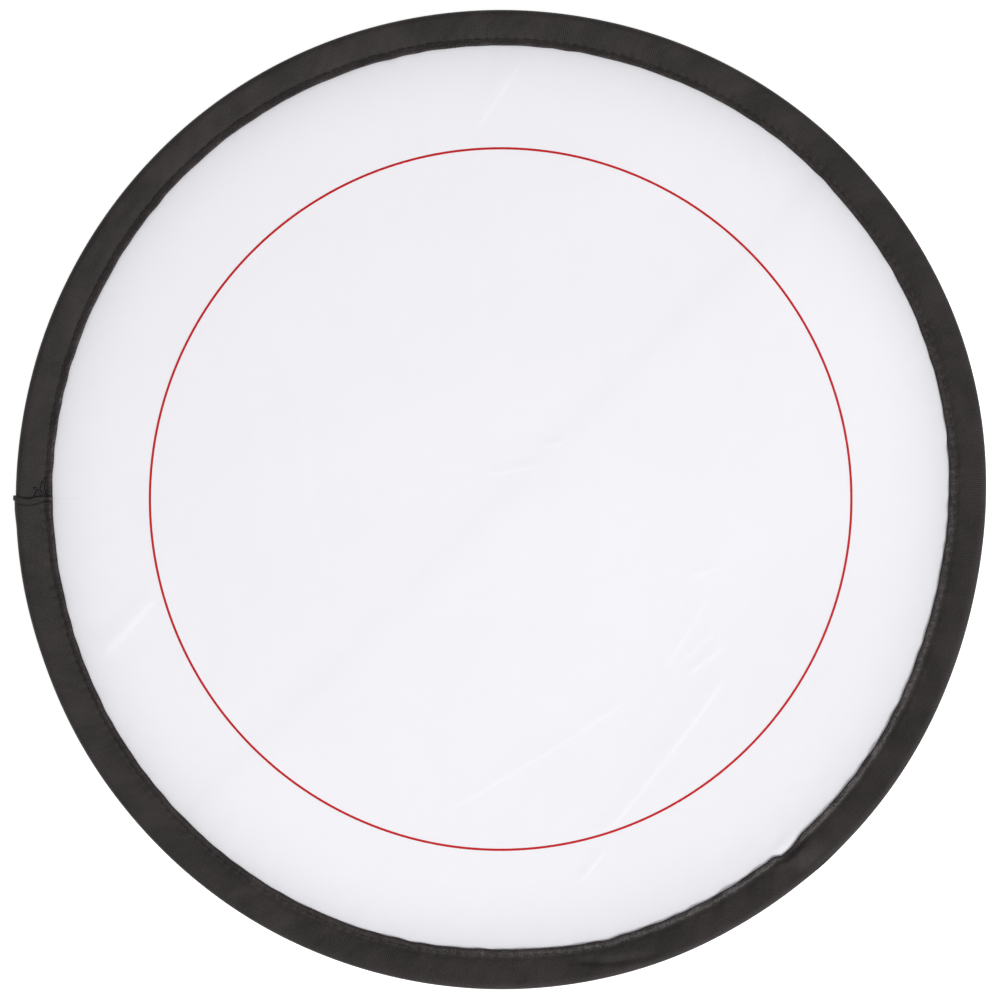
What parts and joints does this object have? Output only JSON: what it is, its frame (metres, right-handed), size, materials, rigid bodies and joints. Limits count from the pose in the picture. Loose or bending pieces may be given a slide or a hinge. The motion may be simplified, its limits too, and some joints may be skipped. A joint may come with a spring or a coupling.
{
  "type": "collapsible round fabric panel",
  "caption": "Round white cloth panel sewn into a dark ribbon binding over a flat spring steel hoop, which folds up on itself and springs back flat.",
  "frame": {"origin": "centre of the disc, at the plane that its back face rests on", "axes": "+Z out of the front face, along the disc's axis; the tape's end seam is at -X; the folds turn about lines parallel to Y"},
  "size_m": [0.2508, 0.25, 0.0038],
  "materials": {
    "panel_cloth": "matte",
    "binding_tape": "satin",
    "sewing_thread": "satin",
    "spring_steel": "satin",
    "sleeve_metal": "satin",
    "print_ink": "matte"
  },
  "bodies": {
    "centre": {"panel_centre": "panel_cloth", "binding_centre": "binding_tape", "hoop_centre": "spring_steel", "front_thread_centre": "sewing_thread", "back_thread_centre": "sewing_thread"},
    "right_1": {"panel_right_1": "panel_cloth", "binding_right_1": "binding_tape", "hoop_right_1": "spring_steel", "front_thread_right_1": "sewing_thread", "back_thread_right_1": "sewing_thread"},
    "left_1": {"panel_left_1": "panel_cloth", "binding_left_1": "binding_tape", "hoop_left_1": "spring_steel", "front_thread_left_1": "sewing_thread", "back_thread_left_1": "sewing_thread"},
    "right_2": {"panel_right_2": "panel_cloth", "binding_right_2": "binding_tape", "hoop_right_2": "spring_steel", "front_thread_right_2": "sewing_thread", "back_thread_right_2": "sewing_thread"},
    "left_2": {"panel_left_2": "panel_cloth", "binding_left_2": "binding_tape", "hoop_left_2": "spring_steel", "front_thread_left_2": "sewing_thread", "back_thread_left_2": "sewing_thread"},
    "right_3": {"panel_right_3": "panel_cloth", "binding_right_3": "binding_tape", "hoop_right_3": "spring_steel", "front_thread_right_3": "sewing_thread", "back_thread_right_3": "sewing_thread"},
    "left_3": {"panel_left_3": "panel_cloth", "binding_left_3": "binding_tape", "hoop_left_3": "spring_steel", "front_thread_left_3": "sewing_thread", "back_thread_left_3": "sewing_thread"},
    "right_4": {"panel_right_4": "panel_cloth", "binding_right_4": "binding_tape", "hoop_right_4": "spring_steel", "front_thread_right_4": "sewing_thread", "back_thread_right_4": "sewing_thread", "hoop_sleeve": "sleeve_metal"},
    "left_4": {"panel_left_4": "panel_cloth", "binding_left_4": "binding_tape", "hoop_left_4": "spring_steel", "front_thread_left_4": "sewing_thread", "back_thread_left_4": "sewing_thread", "tape_end": "binding_tape", "end_tack": "sewing_thread"}
  },
  "joints": [
    {"name": "fold_right_1", "type": "hinge", "parent": "centre", "child": "right_1", "pos_m": [0.009, 0, 0.0019], "axis": [0, -1, 0], "range_deg": [0, 30], "stiffness_Nm_per_rad": 0.2},
    {"name": "fold_left_1", "type": "hinge", "parent": "centre", "child": "left_1", "pos_m": [-0.009, 0, 0.0019], "axis": [0, 1, 0], "range_deg": [0, 30], "stiffness_Nm_per_rad": 0.2},
    {"name": "fold_right_2", "type": "hinge", "parent": "right_1", "child": "right_2", "pos_m": [0.027, 0, 0.0019], "axis": [0, -1, 0], "range_deg": [0, 30], "stiffness_Nm_per_rad": 0.2},
    {"name": "fold_left_2", "type": "hinge", "parent": "left_1", "child": "left_2", "pos_m": [-0.027, 0, 0.0019], "axis": [0, 1, 0], "range_deg": [0, 30], "stiffness_Nm_per_rad": 0.2},
    {"name": "fold_right_3", "type": "hinge", "parent": "right_2", "child": "right_3", "pos_m": [0.045, 0, 0.0019], "axis": [0, -1, 0], "range_deg": [0, 30], "stiffness_Nm_per_rad": 0.2},
    {"name": "fold_left_3", "type": "hinge", "parent": "left_2", "child": "left_3", "pos_m": [-0.045, 0, 0.0019], "axis": [0, 1, 0], "range_deg": [0, 30], "stiffness_Nm_per_rad": 0.2},
    {"name": "fold_right_4", "type": "hinge", "parent": "right_3", "child": "right_4", "pos_m": [0.063, 0, 0.0019], "axis": [0, -1, 0], "range_deg": [0, 30], "stiffness_Nm_per_rad": 0.2},
    {"name": "fold_left_4", "type": "hinge", "parent": "left_3", "child": "left_4", "pos_m": [-0.063, 0, 0.0019], "axis": [0, 1, 0], "range_deg": [0, 30], "stiffness_Nm_per_rad": 0.2}
  ],
  "couplings": [
    {"joint": "fold_left_1", "follows": "fold_right_1", "ratio": 1},
    {"joint": "fold_right_2", "follows": "fold_right_1", "ratio": 1},
    {"joint": "fold_left_2", "follows": "fold_right_1", "ratio": 1},
    {"joint": "fold_right_3", "follows": "fold_right_1", "ratio": 1},
    {"joint": "fold_left_3", "follows": "fold_right_1", "ratio": 1},
    {"joint": "fold_right_4", "follows": "fold_right_1", "ratio": 1},
    {"joint": "fold_left_4", "follows": "fold_right_1", "ratio": 1}
  ]
}
